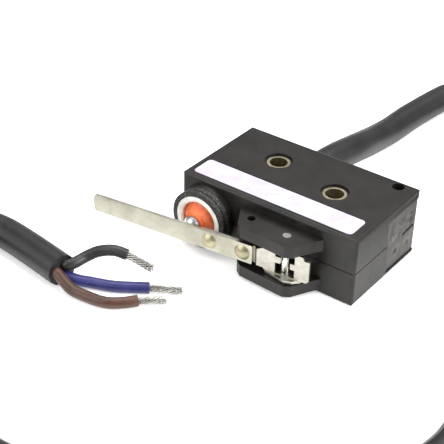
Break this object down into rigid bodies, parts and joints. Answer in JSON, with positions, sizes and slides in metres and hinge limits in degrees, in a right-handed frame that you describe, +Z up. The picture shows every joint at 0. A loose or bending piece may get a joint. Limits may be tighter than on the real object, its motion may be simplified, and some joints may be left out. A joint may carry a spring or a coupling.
{
  "type": "lever micro switch",
  "caption": "Sealed snap switch with a long hinged metal lever, booted plunger, bushed fixing holes and a potted multicore lead with stripped ends.",
  "frame": {"origin": "axis of the left fixing hole on the resting face", "axes": "+X along the case away from the lever's free end, +Y from the lever side to the lead side, +Z up from the resting face"},
  "size_m": [0.1348, 0.1981, 0.0176],
  "materials": {
    "case_plastic": "satin moulded, slightly scuffed",
    "resin": "rough cured potting resin",
    "nickel": "nickel plated, worn",
    "label_film": "bare foil strip",
    "boot_rubber": "speckled rubber",
    "ring_plastic": "pale translucent",
    "diaphragm_rubber": "orange-red silicone",
    "plunger_steel": "turned",
    "spring_wire": "drawn wire",
    "bracket_steel": "stamped, bright",
    "pin_steel": "bright",
    "lever_steel": "rolled strip, bright",
    "rivet_metal": "pale, textured head",
    "spring_bronze": "rolled",
    "contact_silver": "silver alloy",
    "terminal_brass": "stamped",
    "grommet_rubber": "moulded",
    "jacket_pvc": "matt sheath",
    "core_black": "insulation",
    "core_blue": "insulation",
    "core_brown": "insulation",
    "tinned_wire": "tinned strands"
  },
  "bodies": {
    "case": {"case_lower": "case_plastic", "case_upper": "case_plastic", "potting": "resin", "bush_left": "nickel", "bush_right": "nickel", "label": "label_film", "boot_collar": "boot_rubber", "boot_ring": "ring_plastic", "boot_diaphragm": "diaphragm_rubber", "return_spring": "spring_wire", "pivot_pin": "pin_steel", "contact_closed": "contact_silver", "contact_open": "contact_silver", "terminal_common": "terminal_brass", "terminal_closed": "terminal_brass", "terminal_open": "terminal_brass", "lead_common": "core_black", "lead_closed": "core_brown", "lead_open": "core_blue", "cable_collar": "grommet_rubber", "cable_jacket": "jacket_pvc", "core_black": "core_black", "core_blue": "core_blue", "core_brown": "core_brown", "strands_black": "tinned_wire", "strands_blue": "tinned_wire", "strands_brown": "tinned_wire"},
    "lever": {"lever": "lever_steel", "hinge_bracket": "bracket_steel", "rivet_outer": "rivet_metal", "rivet_inner": "rivet_metal"},
    "plunger": {"plunger": "plunger_steel"},
    "contact": {"contact_blade": "spring_bronze", "contact_moving": "contact_silver"}
  },
  "joints": [
    {"name": "lever_hinge", "type": "hinge", "parent": "case", "child": "lever", "pos_m": [0.0172, -0.0214, 0.00785], "axis": [0, 0, -1], "range_deg": [0, 5], "stiffness_Nm_per_rad": 0.02, "springref_deg": -5.73},
    {"name": "plunger_slide", "type": "slide", "parent": "case", "child": "plunger", "axis": [0, 1, 0], "range_m": [0, 0.0022], "deforming": ["return_spring", "boot_diaphragm"]},
    {"name": "contact_swing", "type": "hinge", "parent": "case", "child": "contact", "pos_m": [0.0272, -0.0138, 0.00875], "axis": [0, 0, -1], "range_deg": [0, 4.1]}
  ],
  "couplings": [
    {"joint": "plunger_slide", "follows": "lever_hinge", "m_per_rad": 0.0247},
    {"joint": "contact_swing", "follows": "lever_hinge", "ratio": 0.81}
  ]
}
